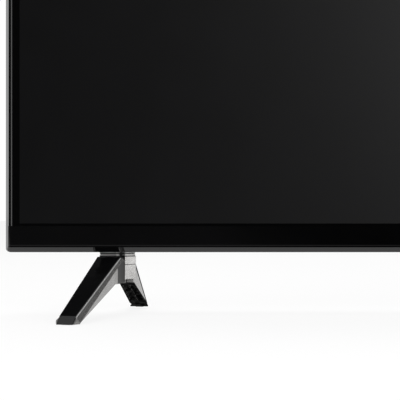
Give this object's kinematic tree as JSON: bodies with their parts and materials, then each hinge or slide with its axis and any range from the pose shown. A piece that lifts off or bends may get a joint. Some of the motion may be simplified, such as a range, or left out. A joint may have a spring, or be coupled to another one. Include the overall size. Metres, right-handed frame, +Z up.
{
  "type": "flat screen tv",
  "caption": "flat screen television with a slim bezel, chin bar and two splayed feet, with push buttons and sockets on the back",
  "frame": {"origin": "on the floor under the middle of the cabinet, halfway between the front and rear toes", "axes": "+X to the right of someone who watches it, -Y towards them, +Z up"},
  "size_m": [0.971, 0.226, 0.636],
  "materials": {
    "frame_gloss": "gloss black, lightly brushed by handling",
    "chin_gloss": "piano black",
    "screen_glass": "polished, dark",
    "cover_plastic": "fine moulded texture",
    "inner_plastic": "moulded",
    "optical_film": "satin film",
    "white_film": "matt white",
    "pan_steel": "galvanised",
    "led_board": "white solder mask",
    "circuit_board": "green solder mask",
    "power_laminate": "brown laminate",
    "flex_film": "amber film",
    "ribbon_film": "white film",
    "socket_metal": "nickel plated",
    "jack_brass": "plated",
    "socket_plastic": "moulded",
    "transformer_tape": "wound and taped",
    "capacitor_sleeve": "shrunk sleeve",
    "heatsink_aluminium": "extruded",
    "lead_sleeve": "insulated",
    "speaker_plastic": "moulded",
    "speaker_cone": "pressed pulp",
    "smoked_lens": "smoky",
    "button_plastic": "satin",
    "screw_steel": "blackened",
    "foot_metal": "bright plated, slightly warm",
    "foot_gloss": "gloss black",
    "pad_rubber": "matt"
  },
  "bodies": {
    "cabinet": {"front_frame": "frame_gloss", "chin_bar": "chin_gloss", "lcd_cell": "screen_glass", "rear_cover": "cover_plastic", "io_panel": "cover_plastic", "panel_frame": "inner_plastic", "stand_sockets": "inner_plastic", "prism_sheet": "optical_film", "diffuser_sheet": "optical_film", "diffuser_plate": "optical_film", "led_lenses": "optical_film", "reflector_sheet": "white_film", "backlight_pan": "pan_steel", "board_posts": "pan_steel", "wall_mount_posts": "pan_steel", "led_bars": "led_board", "source_boards": "circuit_board", "timing_board": "circuit_board", "main_board": "circuit_board", "key_board": "circuit_board", "remote_sensor_board": "circuit_board", "power_board": "power_laminate", "flex_tails": "flex_film", "panel_ribbons": "ribbon_film", "signal_ribbon": "ribbon_film", "hdmi_sockets": "socket_metal", "usb_socket": "socket_metal", "ethernet_socket": "socket_metal", "tuner_can": "socket_metal", "av_jacks": "jack_brass", "optical_socket": "socket_plastic", "headphone_jack": "socket_plastic", "ac_inlet": "socket_plastic", "tact_switches": "socket_plastic", "power_transformers": "transformer_tape", "power_capacitors": "capacitor_sleeve", "power_heatsinks": "heatsink_aluminium", "main_heatsink": "heatsink_aluminium", "power_lead": "lead_sleeve", "speaker_leads": "lead_sleeve", "left_speaker_box": "speaker_plastic", "right_speaker_box": "speaker_plastic", "left_speaker_driver": "speaker_cone", "right_speaker_driver": "speaker_cone", "remote_sensor_window": "smoked_lens", "board_screws": "screw_steel", "rear_cover_screws": "screw_steel", "foot_screws": "screw_steel", "left_foot_body": "foot_metal", "right_foot_body": "foot_metal", "left_foot_collar": "foot_metal", "right_foot_collar": "foot_metal", "left_foot_cover": "foot_gloss", "right_foot_cover": "foot_gloss", "foot_pads": "pad_rubber"},
    "power_button_cap": {"power_button": "button_plastic"},
    "input_button_cap": {"input_button": "button_plastic"},
    "volume_down_button_cap": {"volume_down_button": "button_plastic"},
    "volume_up_button_cap": {"volume_up_button": "button_plastic"}
  },
  "joints": [
    {"name": "power_button_press", "type": "slide", "parent": "cabinet", "child": "power_button_cap", "axis": [0, -1, 0], "range_m": [0, 0.0006], "stiffness_N_per_m": 1000},
    {"name": "input_button_press", "type": "slide", "parent": "cabinet", "child": "input_button_cap", "axis": [0, -1, 0], "range_m": [0, 0.0006], "stiffness_N_per_m": 1000},
    {"name": "volume_down_button_press", "type": "slide", "parent": "cabinet", "child": "volume_down_button_cap", "axis": [0, -1, 0], "range_m": [0, 0.0006], "stiffness_N_per_m": 1000},
    {"name": "volume_up_button_press", "type": "slide", "parent": "cabinet", "child": "volume_up_button_cap", "axis": [0, -1, 0], "range_m": [0, 0.0006], "stiffness_N_per_m": 1000}
  ]
}
